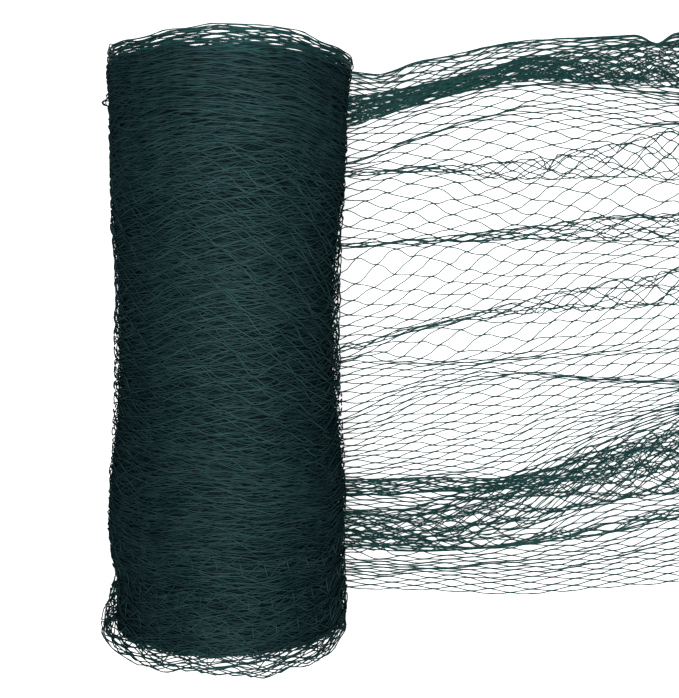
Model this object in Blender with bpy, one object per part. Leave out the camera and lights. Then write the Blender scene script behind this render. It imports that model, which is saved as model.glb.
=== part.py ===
"""Bird netting roll: a fine garden net, wound up along Y, with its loose end drawn out over the surface.

Metres, +Z up. The roll lies on the surface z = 0 with the origin on the flat spot under its middle.
The loose end comes out from under the roll and runs towards +X, gathered into pleats and folds.
"""
import math

import bmesh
import bpy
import numpy as np

# Net
MESH_LONG = 0.0276                      # one diamond of the drawn net, along X
CUT_PITCH = 2.0                         # the openings cut here are this many real meshes wide
BAR_HALF_WIDTH = 0.0014                 # half the width of the bars left between two openings
SMALLEST_GAP = 0.004                    # a gap that is narrower stays closed
SHEET_THICKNESS = 0.0012
RUNNING_GAP = 0.0003                    # between the roll and the sheet under it

# Roll
ROLL_SINK = 0.0015                      # how far the soft roll is pressed flat where it rests
ROLL_AROUND = 48
ROLL_ALONG = 34
TWIST_RISE = 0.0013                     # ridges left by the slanting outer turns
TWISTS_AROUND = 5
TWISTS_ALONG = 23.0                     # radians of slant for each metre of roll
TWIST_WANDER = 1.3                      # radians that a ridge strays from its slant
WANDER_ALONG = 31.0
END_RINGS = 9
SPIRAL_TURNS = 3.0                      # wound layers that are raised in each end face
SPIRAL_RISE = 0.0014
EYE_RADIUS = 0.011                      # the hollow that the first turn leaves
EYE_DEPTH = 0.010
EYE_TAPER = 0.8                         # the hollow's floor against its mouth
FRINGE_WALL = 0.0045                    # thickness of the ruffled rim of net edges
FRINGE_SLOPE = 2.2                      # wall thicknesses from the rim's crest in to the foot of its inner side
RUFFLES = ((9, 0.0009), (17, 0.0006))   # waves round the rim and how far each runs in and out
SLACK_FADE = math.radians(40.0)         # ridges and bulges fade out this far from the resting face

# One row for each section of the roll, from the far end to the near end:
# place along Y, radius, sideways offset of the middle
ROLL_SECTIONS = (
    (-0.1860, 0.0742, 0.0002),
    (-0.1700, 0.0755, -0.0012),
    (-0.1540, 0.0730, 0.0008),
    (-0.1300, 0.0738, 0.0000),
    (-0.1000, 0.0742, 0.0003),
    (-0.0600, 0.0727, 0.0002),
    (-0.0150, 0.0713, 0.0000),
    (0.0250, 0.0710, -0.0006),
    (0.0550, 0.0713, 0.0000),
    (0.0900, 0.0732, -0.0006),
    (0.1250, 0.0744, 0.0000),
    (0.1650, 0.0754, 0.0003),
    (0.1840, 0.0764, 0.0006),
)

# The two ends: side of the roll, core face at the side and at the crown, rim beyond the core there
END_COLUMNS = ("core_side", "core_crown", "rim_side", "rim_crown")
ROLL_ENDS = {
    -1: (0.1730, 0.1800, 0.0080, 0.0110),
    1: (0.1765, 0.1775, 0.0085, 0.0130),
}

# Slack net that stands off the roll: place along Y, angle from +X, rise, length and half angle
SLACK_BULGES = (
    (-0.1700, 176.0, 0.0062, 0.0150, 30.0),
    (-0.1850, 150.0, 0.0030, 0.0120, 40.0),
    (0.1800, 12.0, 0.0030, 0.0100, 26.0),
    (-0.0950, 2.0, 0.0012, 0.0500, 30.0),
    (-0.1550, 15.0, 0.0016, 0.0250, 30.0),
    (0.0300, 100.0, 0.0014, 0.0600, 35.0),
)

# Loose end
SEAT_ROLL_RADIUS = 0.0747
SHEET_END = 0.315
COLUMN_WOBBLE = 0.0022
ROW_WOBBLE = 0.0011
LEG_STEPS = 2                           # straight pieces in each leg of an opening

# The lines that part the loose end into strips, as Y at each of these stations along X
STATIONS = (0.021, 0.078, 0.133, 0.195, 0.250, 0.305)
GUIDES = {
    "top_edge": (0.1850, 0.1925, 0.1987, 0.2110, 0.2160, 0.2194),
    "band_top": (0.1715, 0.1753, 0.1822, 0.1980, 0.2060, 0.2084),
    "band_bottom": (0.1480, 0.1525, 0.1711, 0.1815, 0.1822, 0.1770),
    "crossed_top": (0.1195, 0.1208, 0.1249, 0.1332, 0.1421, 0.1573),
    "crossed_bottom": (0.1155, 0.1166, 0.1195, 0.1180, 0.1221, 0.1330),
    "doubled_top": (0.0700, 0.0711, 0.0752, 0.0835, 0.0890, 0.0925),
    "doubled_bottom": (0.0660, 0.0675, 0.0704, 0.0705, 0.0704, 0.0697),
    "slanting_top": (-0.0160, -0.0055, 0.0159, 0.0331, 0.0462, 0.0573),
    "slanting_bottom": (-0.0205, -0.0104, 0.0110, 0.0235, 0.0276, 0.0311),
    "ridge_top": (-0.0500, -0.0456, -0.0240, -0.0150, -0.0190, -0.0205),
    "ridge_bottom": (-0.0540, -0.0500, -0.0280, -0.0190, -0.0230, -0.0245),
    "gather_top": (-0.0850, -0.0876, -0.0863, -0.0835, -0.0635, -0.0490),
    "slit_top": (-0.0990, -0.1020, -0.1035, -0.1010, -0.0900, -0.0770),
    "slit_bottom": (-0.1080, -0.1105, -0.1100, -0.1080, -0.1000, -0.0880),
    "gather_bottom": (-0.1370, -0.1408, -0.1408, -0.1373, -0.1270, -0.1139),
    "low_edge": (-0.1600, -0.1649, -0.1677, -0.1697, -0.1649, -0.1615),
}

# The strips between those lines, from the top edge down: lower line, rows, pleat height, open net or not
STRIPS = (
    ("band_top", 2, 0.0000, True),
    ("band_bottom", 4, 0.0055, False),
    ("crossed_top", 5, 0.0000, True),
    ("crossed_bottom", 2, 0.0034, False),
    ("doubled_top", 5, 0.0000, True),
    ("doubled_bottom", 2, 0.0030, False),
    ("slanting_top", 6, 0.0000, True),
    ("slanting_bottom", 2, 0.0034, False),
    ("ridge_top", 5, 0.0000, True),
    ("ridge_bottom", 2, 0.0026, False),
    ("gather_top", 6, 0.0000, True),
    ("slit_top", 2, 0.0045, False),
    ("slit_bottom", 1, 0.0000, True),
    ("gather_bottom", 4, 0.0058, False),
    ("low_edge", 4, 0.0000, True),
)


def clear_scene():
    """Remove whatever the scene holds."""
    for old in list(bpy.data.objects):
        bpy.data.objects.remove(old, do_unlink=True)


def twine_material(name, colour, roughness):
    """Plain green plastic twine."""
    material = bpy.data.materials.new(name)
    material.use_nodes = True
    shader = material.node_tree.nodes["Principled BSDF"]
    shader.inputs["Base Color"].default_value = (*colour, 1.0)
    shader.inputs["Roughness"].default_value = roughness
    shader.inputs["Metallic"].default_value = 0.0
    return material


def smooth_through(places, values, at):
    """A curve through the given values: cubic pieces whose slopes are those of the neighbours' chord."""
    places = np.asarray(places, dtype=float)
    values = np.asarray(values, dtype=float)
    slopes = np.gradient(values, places)
    at = np.clip(np.asarray(at, dtype=float), places[0], places[-1])
    piece = np.clip(np.searchsorted(places, at, side="right") - 1, 0, len(places) - 2)
    span = places[piece + 1] - places[piece]
    t = (at - places[piece]) / span
    rise = values[piece] * (2 * t**3 - 3 * t**2 + 1) + values[piece + 1] * (3 * t**2 - 2 * t**3)
    bend = slopes[piece] * (t**3 - 2 * t**2 + t) + slopes[piece + 1] * (t**3 - t**2)
    return rise + bend * span


def ramp(value, start, end):
    """0 before start, 1 after end, smooth between them."""
    t = np.clip((np.asarray(value, dtype=float) - start) / (end - start), 0.0, 1.0)
    return t * t * (3.0 - 2.0 * t)


def finish_mesh(name, mesh_source, material, sharp_degrees):
    """Put a bmesh into a named object with outward faces and smooth shading."""
    bmesh.ops.recalc_face_normals(mesh_source, faces=mesh_source.faces)
    bmesh.ops.triangulate(mesh_source, faces=mesh_source.faces)
    mesh = bpy.data.meshes.new(name)
    mesh_source.to_mesh(mesh)
    mesh_source.free()
    mesh.shade_smooth()
    mesh.set_sharp_from_angle(angle=math.radians(sharp_degrees))
    mesh.materials.append(material)
    piece = bpy.data.objects.new(name, mesh)
    bpy.context.collection.objects.link(piece)
    return piece


def around_angles():
    """Angles round the roll, measured from +X, set so that a facet lies square under the middle."""
    return -math.pi / 2 + (np.arange(ROLL_AROUND) + 0.5) * 2 * math.pi / ROLL_AROUND


def away_from_floor(angle):
    """1 on the crown and sides of the roll, 0 near its resting face."""
    from_floor = np.abs(np.angle(np.exp(1j * (angle + math.pi / 2))))
    return ramp(from_floor, SLACK_FADE / 2, SLACK_FADE)


def slack(angle, along):
    """How far the loosely wound net stands off the roll: slanting ridges and a few soft bulges."""
    wander = TWIST_WANDER * np.sin(2 * angle + WANDER_ALONG * along)
    rise = TWIST_RISE * np.sin(TWISTS_AROUND * angle + TWISTS_ALONG * along + wander)
    for place, degrees, height, length, half_angle in SLACK_BULGES:
        turn = np.degrees(np.angle(np.exp(1j * (angle - math.radians(degrees)))))
        rise = rise + height * np.exp(-((along - place) / length) ** 2 - (turn / half_angle) ** 2)
    return rise * away_from_floor(angle)


def roll_ring(angle, along, share):
    """One ring of points round the roll: share is the part of the full radius, along is Y for each point."""
    table = np.array(ROLL_SECTIONS)
    radius = smooth_through(table[:, 0], table[:, 1], along)
    offset = smooth_through(table[:, 0], table[:, 2], along)
    reach = (radius + slack(angle, along)) * share
    x = offset + reach * np.cos(angle)
    z = np.maximum(radius - ROLL_SINK + reach * np.sin(angle), 0.0)
    return np.stack([x, along, z], axis=1)


def end_edge(side, angle, kind):
    """Distance of an end's core face or rim from the middle, which grows from the sides to the crown."""
    end = dict(zip(END_COLUMNS, ROLL_ENDS[side]))
    core = end["core_side"] + (end["core_crown"] - end["core_side"]) * np.sin(angle)
    if kind == "core":
        return core
    ruffle = sum(rise * np.sin(waves * angle + side) for waves, rise in RUFFLES)
    upper = np.maximum(np.sin(angle), 0.0)
    return core + end["rim_side"] + (end["rim_crown"] - end["rim_side"]) * upper + ruffle


def end_face_rings(side, angle):
    """Rings of one end face, from its rim inwards: the rim's inner wall, then the spiral of wound layers."""
    core = end_edge(side, angle, "core")
    rim = end_edge(side, angle, "rim")
    wall = FRINGE_WALL / SEAT_ROLL_RADIUS
    rings = [roll_ring(angle, side * rim, 1.0 - wall)]
    eye_share = EYE_RADIUS / SEAT_ROLL_RADIUS
    for share in np.linspace(1.0 - FRINGE_SLOPE * wall, eye_share, END_RINGS):
        spiral = SPIRAL_RISE * np.cos(2 * math.pi * SPIRAL_TURNS * share - side * angle)
        rings.append(roll_ring(angle, side * (core + spiral), share))
    eye_floor = np.full_like(angle, side * (core.mean() - EYE_DEPTH))
    rings.append(roll_ring(angle, eye_floor, eye_share * EYE_TAPER))
    return rings


def build_roll(material):
    """The wound net: one closed loft through rings, from the eye of one end over the outside to the other."""
    angle = around_angles()
    low_rim = -end_edge(-1, angle, "rim")
    high_rim = end_edge(1, angle, "rim")
    rings = end_face_rings(-1, angle)[::-1]
    for share in np.linspace(0.0, 1.0, ROLL_ALONG):
        rings.append(roll_ring(angle, low_rim + (high_rim - low_rim) * share, 1.0))
    rings.extend(end_face_rings(1, angle))

    loft = bmesh.new()
    rows = [[loft.verts.new(point) for point in ring] for ring in rings]
    for lower, upper in zip(rows[:-1], rows[1:]):
        for k in range(ROLL_AROUND):
            after = (k + 1) % ROLL_AROUND
            loft.faces.new((lower[k], lower[after], upper[after], upper[k]))
    loft.faces.new(rows[0][::-1])
    loft.faces.new(rows[-1])
    return finish_mesh("net_roll", loft, material, 50.0)


def row_lines():
    """Lines across the net from the top edge down: strip, share of the way through it, and pleat height."""
    lines = [("top_edge", "top_edge", 0.0, 0.0)]
    above = "top_edge"
    for below, rows, pleat, _ in STRIPS:
        for step in range(1, rows + 1):
            height = pleat if step % 2 and rows > 1 else 0.0
            lines.append((above, below, step / rows, height))
        above = below
    return lines


def open_rows():
    """For each row of the net, from the top edge down, whether it lies open."""
    state = []
    for _, rows, _, is_open in STRIPS:
        state.extend([is_open] * rows)
    return state


def lattice(columns):
    """Points of the net's lattice: for each row line and column, X, Y and Z of the underside."""
    lines = row_lines()
    start = math.sqrt(2.0 * SEAT_ROLL_RADIUS * (SHEET_THICKNESS + RUNNING_GAP + ROLL_SINK))
    base_x = np.linspace(start, SHEET_END, columns)
    row = np.arange(len(lines))[:, None]
    column = np.arange(columns)[None, :]
    inside = (column > 0) & (column < columns - 1)
    x = base_x[None, :] + inside * COLUMN_WOBBLE * np.sin(0.9 * row + 1.7 * column)
    y = np.zeros_like(x)
    z = np.zeros_like(x)
    for number, (above, below, share, height) in enumerate(lines):
        top = smooth_through(STATIONS, GUIDES[above], x[number])
        low = smooth_through(STATIONS, GUIDES[below], x[number])
        y[number] = top + (low - top) * share
        uneven = 0.75 + 0.25 * np.sin(1.1 * number + 0.8 * np.arange(columns))
        z[number] = height * uneven * ramp(x[number], start + 0.004, start + 0.040)
    edge = (row == 0) | (row == len(lines) - 1)
    y += np.where(edge, 0.0, ROW_WOBBLE) * np.sin(1.9 * row + 2.3 * column)
    return np.stack([x, y, z], axis=2)


def cell_corners(row, column):
    """Lattice places round the diamond centred at a place, anticlockwise seen from above."""
    return ((row, column + 1), (row - 1, column), (row, column - 1), (row + 1, column))


class NetSheet:
    """A sheet with diamond openings: an upper and a lower skin with the same outline, and walls between."""

    def __init__(self, points):
        self.points = points
        self.rows, self.columns = points.shape[:2]
        self.mesh = bmesh.new()
        self.pairs = {}
        self.sides = {}                 # each polygon's sides in the order they are made

    def pair(self, key, place):
        """The upper and lower vertex at one place, made once."""
        if key not in self.pairs:
            low = self.mesh.verts.new(place)
            high = self.mesh.verts.new((place[0], place[1], place[2] + SHEET_THICKNESS))
            self.pairs[key] = (high, low)
        return self.pairs[key]

    def lattice_pair(self, row, column):
        return self.pair(("node", row, column), self.points[row, column])

    def leg_pairs(self, first, second):
        """Points strictly between two lattice places, on a gentle S that both diamonds share."""
        if LEG_STEPS < 2:
            return []
        start, end = sorted((first, second))
        middle = (self.points[start] + self.points[end]) / 2.0
        return [self.pair(("leg", start, end), middle)]

    def outline(self, corners):
        """The vertices round a diamond, with the points along its legs."""
        ring = []
        for number, corner in enumerate(corners):
            following = corners[(number + 1) % len(corners)]
            ring.append(self.lattice_pair(*corner))
            ring.extend(self.leg_pairs(corner, following))
        return ring

    def fill(self, ring):
        """Close one polygon in both skins and note its sides."""
        self.mesh.faces.new([high for high, _ in ring])
        self.mesh.faces.new([low for _, low in reversed(ring)])
        for number, here in enumerate(ring):
            there = ring[(number + 1) % len(ring)]
            self.sides[here, there] = True

    def fan(self, ring, centre):
        """Fill a ring of vertices with triangles round a centre vertex."""
        for number, here in enumerate(ring):
            self.fill([here, ring[(number + 1) % len(ring)], centre])

    def opening(self, row, column, ring, shrink):
        """Fill the frame between a diamond's outline and its opening."""
        centre = self.points[row, column]
        inner = []
        for number, (high, low) in enumerate(ring):
            place = np.array(low.co)
            inward = centre + (place - centre) * shrink
            inward[2] = place[2]
            inner.append(self.pair(("hole", row, column, number), inward))
        for number in range(len(ring)):
            after = (number + 1) % len(ring)
            self.fill([ring[number], ring[after], inner[after], inner[number]])

    def close_walls(self):
        """Add a wall along every side that only one polygon uses."""
        for here, there in self.sides:
            if (there, here) not in self.sides:
                self.mesh.faces.new((here[0], here[1], there[1], there[0]))


def gap_share(points, row, column):
    """How far a diamond's opening shrinks from its outline, or 0 where the gap would be too narrow."""
    across = abs(points[row - 1, column, 1] - points[row + 1, column, 1]) / 2.0
    along = abs(points[row, column + 1, 0] - points[row, column - 1, 0]) / 2.0
    reach = across * along / math.hypot(across, along)
    if 2.0 * (reach - BAR_HALF_WIDTH) < SMALLEST_GAP:
        return 0.0
    return 1.0 - BAR_HALF_WIDTH / reach


def build_loose_end(material):
    """The drawn-out end of the net: a diamond lattice, open where the net lies flat, pleated where it gathers."""
    spacing = MESH_LONG * CUT_PITCH / 2.0
    columns = int(round((SHEET_END - STATIONS[0]) / spacing)) + 1
    points = lattice(columns)
    is_open = open_rows()
    sheet = NetSheet(points)
    gaps = 0
    for row in range(sheet.rows):
        for column in range(columns):
            if (row + column) % 2:
                continue
            corners = [place for place in cell_corners(row, column)
                       if 0 <= place[0] < sheet.rows and 0 <= place[1] < columns]
            whole = len(corners) == 4
            shrink = 0.0
            if whole and is_open[row - 1] and is_open[row]:
                shrink = gap_share(points, row, column)
            if shrink > 0.0:
                sheet.opening(row, column, sheet.outline(corners), shrink)
                gaps += 1
            elif whole:
                sheet.fan(sheet.outline(corners), sheet.lattice_pair(row, column))
            else:
                fill_edge_cell(sheet, row, column)
    sheet.close_walls()
    print("openings in the loose end:", gaps)
    return finish_mesh("loose_end", sheet.mesh, material, 40.0)


def fill_edge_cell(sheet, row, column):
    """Fill the part of a diamond that lies inside the sheet where its centre is on the border."""
    corners = cell_corners(row, column)
    centre = sheet.lattice_pair(row, column)
    for number, corner in enumerate(corners):
        following = corners[(number + 1) % 4]
        within = all(0 <= place[0] < sheet.rows and 0 <= place[1] < sheet.columns
                     for place in (corner, following))
        if within:
            side = [sheet.lattice_pair(*corner), *sheet.leg_pairs(corner, following),
                    sheet.lattice_pair(*following)]
            for here, there in zip(side[:-1], side[1:]):
                sheet.fill([here, there, centre])


def main():
    clear_scene()
    wound = twine_material("wound_net", (0.010, 0.036, 0.038), 0.55)
    drawn = twine_material("drawn_net", (0.022, 0.075, 0.066), 0.50)
    build_roll(wound)
    build_loose_end(drawn)


main()
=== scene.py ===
"""Bird netting roll: the twine of the wound net and of its drawn-out loose end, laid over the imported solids.

Laid out as an add-on with one operator for each piece of netting and one for the stage. Metres, +Z up.
"""

import math

import bpy
import numpy as np
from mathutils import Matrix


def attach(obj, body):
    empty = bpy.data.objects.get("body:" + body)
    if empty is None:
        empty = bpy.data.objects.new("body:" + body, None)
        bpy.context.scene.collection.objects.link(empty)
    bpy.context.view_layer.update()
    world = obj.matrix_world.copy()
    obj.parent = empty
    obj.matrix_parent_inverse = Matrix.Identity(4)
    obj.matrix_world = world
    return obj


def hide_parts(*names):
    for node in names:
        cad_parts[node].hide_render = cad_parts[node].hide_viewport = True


bl_info = {
    "name": "Bird Netting Roll",
    "version": (1, 0, 0),
    "blender": (4, 5, 0),
    "location": "3D View > Sidebar > Netting",
    "description": "Builds a roll of fine garden netting with its loose end drawn out flat",
    "category": "Add Mesh",
}

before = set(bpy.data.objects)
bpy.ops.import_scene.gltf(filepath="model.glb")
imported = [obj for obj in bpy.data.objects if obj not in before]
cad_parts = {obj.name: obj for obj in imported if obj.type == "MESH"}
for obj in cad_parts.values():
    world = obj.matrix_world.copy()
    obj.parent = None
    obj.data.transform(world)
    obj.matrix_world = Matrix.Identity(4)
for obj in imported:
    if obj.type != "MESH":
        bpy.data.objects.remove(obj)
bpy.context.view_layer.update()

MM = 0.001
BODY = "root"

# Roll, after the solid's form: its sections and rims follow the outline more closely, its ridges are lower
ROLL_SINK = 0.0015  # how far the soft roll is pressed flat where it rests
TWIST_RISE = 0.0006  # ridges left by the slanting outer turns
TWISTS_AROUND = 5
TWISTS_ALONG = 23.0  # radians of slant a metre
TWIST_WANDER = 1.3  # radians that a ridge strays from its slant
WANDER_ALONG = 31.0  # radians of that straying a metre
SLACK_FADE = math.radians(40.0)  # ridges and bulges fade out this far from the resting face
RUFFLES = ((7, 0.0004), (13, 0.0003))  # waves round the rim and how far each runs in and out

# Place along Y, radius, sideways offset of the middle
ROLL_SECTIONS = (
    (-0.1900, 0.0736, -0.0008), (-0.1727, 0.0740, 0.0003), (-0.1536, 0.0738, 0.0004),
    (-0.1441, 0.0730, 0.0010), (-0.1294, 0.0740, -0.0005), (-0.0962, 0.0749, -0.0008),
    (-0.0529, 0.0733, -0.0005), (-0.0102, 0.0720, -0.0005), (0.0236, 0.0716, -0.0012),
    (0.0376, 0.0718, -0.0010), (0.0759, 0.0736, -0.0014), (0.1090, 0.0749, -0.0008),
    (0.1523, 0.0758, -0.0005), (0.1840, 0.0764, 0.0000), (0.1920, 0.0748, 0.0000),
)

# Core face of the two ends: how far it lies from the middle at the roll's sides and at the crown
ROLL_ENDS = {-1: (0.1730, 0.1800), 1: (0.1765, 0.1775)}
# Rims: degrees round the roll from +X, and how far in mm the near and the far rim lie from the middle
RIM_SECTIONS = (
    (-90.0, 181.0, 185.0), (-30.0, 179.0, 183.5), (0.0, 178.5, 183.0), (19.0, 181.0, 183.6),
    (31.0, 188.5, 184.8), (40.0, 190.0, 186.4), (50.0, 190.9, 189.2), (70.0, 193.6, 190.9),
    (88.0, 191.9, 191.4), (106.0, 190.5, 189.3), (120.0, 190.2, 187.0), (136.0, 187.2, 186.6),
    (148.0, 183.4, 187.8), (165.0, 179.0, 190.2), (180.0, 176.8, 191.4), (210.0, 178.0, 188.5),
    (270.0, 181.0, 185.0),
)

# Slack net that stands off the roll: place along Y, angle from +X, rise, length and half angle
SLACK_BULGES = (
    (-0.1700, 176.0, 0.0062, 0.0150, 30.0), (0.1560, 177.0, 0.0050, 0.0040, 8.0),
    (-0.1850, 150.0, 0.0030, 0.0120, 40.0), (0.1800, 12.0, 0.0030, 0.0100, 26.0),
    (-0.0950, 2.0, 0.0012, 0.0500, 30.0), (-0.1550, 15.0, 0.0016, 0.0250, 30.0),
    (0.0300, 100.0, 0.0014, 0.0600, 35.0),
)

# How far in mm the dense part lies inside the outline: place along Y in mm, on the loose end's side, on the
# other side
GAP_SECTIONS = (
    (-190.0, 2.5, 1.5), (-160.0, 2.2, 3.2), (-141.0, 1.6, 2.2), (-122.0, 0.8, 0.9), (-77.0, 0.8, 0.7),
    (-52.0, 2.6, 2.4), (-32.0, 4.3, 3.2), (31.0, 4.6, 3.0), (76.0, 3.4, 1.8), (95.0, 1.4, 0.9),
    (127.0, 0.1, 0.2), (171.0, 0.0, 0.0), (190.0, 0.6, 0.2),
)

# Wound layers: strands, the part of the way along the roll where they start and end, legs of the zigzag in
# one turn, depth under the outline, the shares of the ridges, bulges and gap that they follow, how far they
# wander along Y, how far they swing, uneven height, how far they come down along Y from the roll's left side
# to its right one, the share of a leg that a mesh leans by, and the seed of their waves
LAYER_COLUMNS = ("strands", "start", "end", "legs", "depth", "ridges", "bulges", "gap", "wander", "swing",
                 "uneven", "slant", "lean", "seed")
TIGHT_LAYERS = (
    (150, 0.0, 1.0, 32, 0.0006, 0.6, 0.0, 0.85, 1.0, 1.0, 0.00030, 0.000, 0.00, 11),
    (150, 0.0, 1.0, 32, 0.0010, 0.6, 0.0, 1.00, 1.0, 1.0, 0.00025, 0.000, 0.00, 12),
    (150, 0.0, 1.0, 32, 0.0014, 0.5, 0.0, 1.00, 1.0, 1.0, 0.00020, 0.000, 0.00, 13),
    (150, 0.0, 1.0, 32, 0.0018, 0.5, 0.0, 1.00, 1.1, 1.0, 0.00020, 0.000, 0.00, 14),
    (150, 0.0, 1.0, 32, 0.0022, 0.4, 0.0, 1.00, 1.1, 1.0, 0.00020, 0.000, 0.00, 15),
    (150, 0.0, 1.0, 32, 0.0027, 0.4, 0.0, 1.00, 1.1, 1.0, 0.00020, 0.000, 0.00, 16),
)
SLACK_LAYERS = (
    (58, 0.0, 1.0, 32, 0.0002, 1.0, 1.00, 0.00, 0.7, 1.0, 0.00060, 0.014, 0.25, 21),
    (88, 0.0, 1.0, 32, 0.0003, 1.0, 0.85, 0.35, 0.8, 1.0, 0.00070, 0.008, 0.25, 22),
    (88, 0.0, 1.0, 32, 0.0006, 0.8, 0.55, 0.70, 0.8, 1.0, 0.00070, 0.004, 0.10, 23),
    (4, 0.01, 0.19, 64, 0.0002, 1.0, 0.90, 0.20, 0.6, 1.1, 0.00040, 0.000, 0.74, 31),
    (14, 0.45, 0.82, 28, 0.0002, 1.0, 0.90, 0.20, 0.6, 1.0, 0.00040, 0.022, 0.30, 32),
)
# Share of their full swing that the slack layers' strands have: place along Y in mm, share
SWING_SECTIONS = (
    (-190.0, 0.80), (-160.0, 0.75), (-125.0, 0.45), (-70.0, 0.45), (-30.0, 0.75), (60.0, 0.90),
    (100.0, 0.75), (130.0, 0.30), (190.0, 0.20),
)
TIGHT_POINTS = 64
SLACK_POINTS = 128
LAYER_TURN = 0.6  # radians from one seed's first knot to the next one's
END_EASE = 0.04  # the shifts along Y die away this close to the roll's ends
RISE_SEED = 100  # what a layer's seed grows by for its waves off the roll

# Drift of the knots round the roll: height in legs, strands a radian, share of the seed in the phase
TURN_DRIFTS = ((1.2, 17.0, 1.0), (0.7, 7.3, 2.0))

# Turns in the ruffled rims: side, turns, start and end on the way from core face to rim, depth under the
# outline, how far they wander and swing along Y, uneven height, seed of their waves
RIM_COLUMNS = ("side", "turns", "start", "end", "depth", "wander", "swing", "uneven", "seed")
RIM_LAYERS = (
    (1, 3, 0.66, 1.00, 0.0000, 0.0009, 0.9, 0.0004, 41),
    (1, 7, -0.20, 0.76, 0.0010, 0.0013, 0.9, 0.0006, 42),
    (1, 8, -0.20, 0.66, 0.0022, 0.0013, 0.9, 0.0006, 43),
    (1, 8, -0.20, 0.52, 0.0036, 0.0012, 0.9, 0.0006, 44),
    (-1, 3, 0.56, 1.00, 0.0000, 0.0012, 1.2, 0.0005, 45),
    (-1, 3, -0.20, 0.62, 0.0010, 0.0016, 1.1, 0.0006, 46),
    (-1, 3, -0.20, 0.40, 0.0022, 0.0014, 1.1, 0.0006, 47),
    (-1, 2, -0.20, 0.20, 0.0034, 0.0012, 1.0, 0.0006, 48),
)
RIM_LEGS = 32
RIM_LENGTH = 0.01  # the rims' waves are read as if a rim were this long along Y
RIM_PAST = 0.0004  # how far a turn may stand past the rim's own line

# Waves that shift the strands along Y: height, length along Y, most turns round the roll
AXIAL_WAVES = ((0.0058, 0.120, 2), (0.0027, 0.055, 3), (0.0012, 0.027, 4), (0.0006, 0.015, 6))
# Waves that lift the slack net off the roll: share of the height, length along Y, most turns
RADIAL_WAVES = ((0.50, 0.031, 7), (0.40, 0.019, 11), (0.30, 0.012, 17))

# Waves of the turns in the rims: share of the wander, length along Y, most turns
RIM_WAVES = ((0.60, 0.021, 3), (0.50, 0.009, 6), (0.30, 0.005, 11))
TURN_SIDES = 3  # corners of the wound twine, seen end on

# Tone of the wound twine, with a painted highlight on the crown and painted shade on the sides and in the
# deeper layers
PAINTED_SHADE_DEPTH = 0.0008  # depth at which painted shade has brought the tone down to about a third
CROWN_PAINTED_HIGHLIGHT = 1.07  # tone on the roll's lightest line, a painted highlight
SIDES_PAINTED_SHADE = 0.30  # tone on the roll's sides, darkened by painted shade
PAINTED_HIGHLIGHT_TURN = 0.14  # radians from the crown towards the loose end to the painted highlight's lightest line
PAINTED_HIGHLIGHT_FALLOFF = 10  # how fast the painted highlight falls from that line into the painted shade on the sides
TONE_NEAR = 0.22  # how much darker the roll's near half is
TONE_NEAR_Y = (0.02, 0.13)  # where along -Y it starts to darken, and where it is at its darkest
TONE_UNEVEN = 0.15  # how much the tone swings along and between the strands
STRAND_PHASE = 2.4  # radians from one strand's unevenness to the next one's

# Dark inner body, its twine colours darkened as painted shade
CORE_DEPTH = 0.0036  # it lies this far under the outline
CORE_INSET = 0.0015  # and this far inside the core faces
CORE_RIDGES = 0.3  # share of the ridges that it follows
CORE_AROUND = 96
CORE_ALONG = 120
CORE_FACE_RINGS = 24
CORE_FACE_EDGE = 0.985  # share of the radius at which an end's face starts
CORE_FACE_RADIUS = 0.07  # radius for the share at which the eye starts
CORE_PAINTED_SHADE = (0.4, 0.12)  # shares of the twine's dark and light colour that it shows, as painted shade of the dense inside
SPIRAL_TURNS = 9.0  # wound layers that are raised in each end face
SPIRAL_RISE = 0.0012
EYE_RADIUS = 0.011  # the hollow that the first turn leaves
EYE_DEPTH = 0.010
EYE_MOUTH = 0.176  # distance of its mouth from the middle of the roll
EYE_FLOOR = (0.8, 0.25)  # reach of its floor's outer and inner ring against its mouth

# Strands that spiral in the two ends
END_SPIRALS = 7
END_TURNS = 16
END_TURN_POINTS = 64
END_SIDES = 3
END_LEGS = 32  # legs a turn, on average
END_FIRST_LEGS = 0.35  # share of them where a spiral starts
END_RADIUS = 0.0715  # reach of the outermost turn
END_DEPTH = 0.0032  # the turns stay this far under the outline
END_STEP = 2.1  # radians from one spiral's start to the next one's
END_BACK = 0.0004  # they lie this far back from the core face
END_SPREAD = 0.0009  # and each up to this far before or behind that
END_SWING = 0.0014  # swing of the zigzag along Y
END_FLUTTER = (0.0008, 5)  # waves along Y: height, waves a turn
END_RUFFLE = (0.0006, 9)  # waves of the reach: height, waves a turn
END_DRIFT = (0.0005, 138)  # slow change of the reach: height, radians over the whole spiral

# Loose end
LEG_LONG = 0.01383  # one leg of the drawn mesh, along X
LEG_POINTS = 5
NET_LEGS = 21.25  # legs from the start under the roll to the far side
NET_START = 0.0212  # where the strands start, under the roll
NET_PAST = 0.012  # how far past the last station the table of folds is carried on
NET_PLACES = 240  # places along X at which the table is worked out
LEG_BEND = 0.40  # 0 for a straight leg, 1 for a full wave
KNOT_SWELL = 0.35  # how much thicker the twine is at a knot
KNOT_REACH = 0.12  # share of a leg that a knot reaches to
NET_REST = 0.00030  # height of the lowest strands' middle
NET_EASE = 2.0  # legs at both ends in which the drift along X dies away
EDGE_EASE = 6.0  # strands at both edges in which the shifts die away
LIFT_X = (0.004, 0.040)  # how far from the start the folds begin to rise, and have their full height
SHADE_DARK = 0.8  # share of the tone that the gathers near the roll lose in their own shade
SHADE_Y = (0.080, 0.100, 0.140, 0.155)  # along -Y: where it starts, is full, starts to end and has ended
SHADE_X = (0.090, 0.240)  # along X: where it starts to end and has ended
NET_TONE = 0.6
NET_UNEVEN = 0.3  # how much lighter or darker it gets along X and between strands
NET_UNEVEN_ALONG = 11.0  # radians of that change a metre

STATIONS = (0.0212, 0.0758, 0.1330, 0.1951, 0.2503, 0.3048)  # places along X of the folds' Y
COUNT_STATIONS = (0.0758, 0.1951, 0.3048)  # places along X of their strand counts
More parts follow.
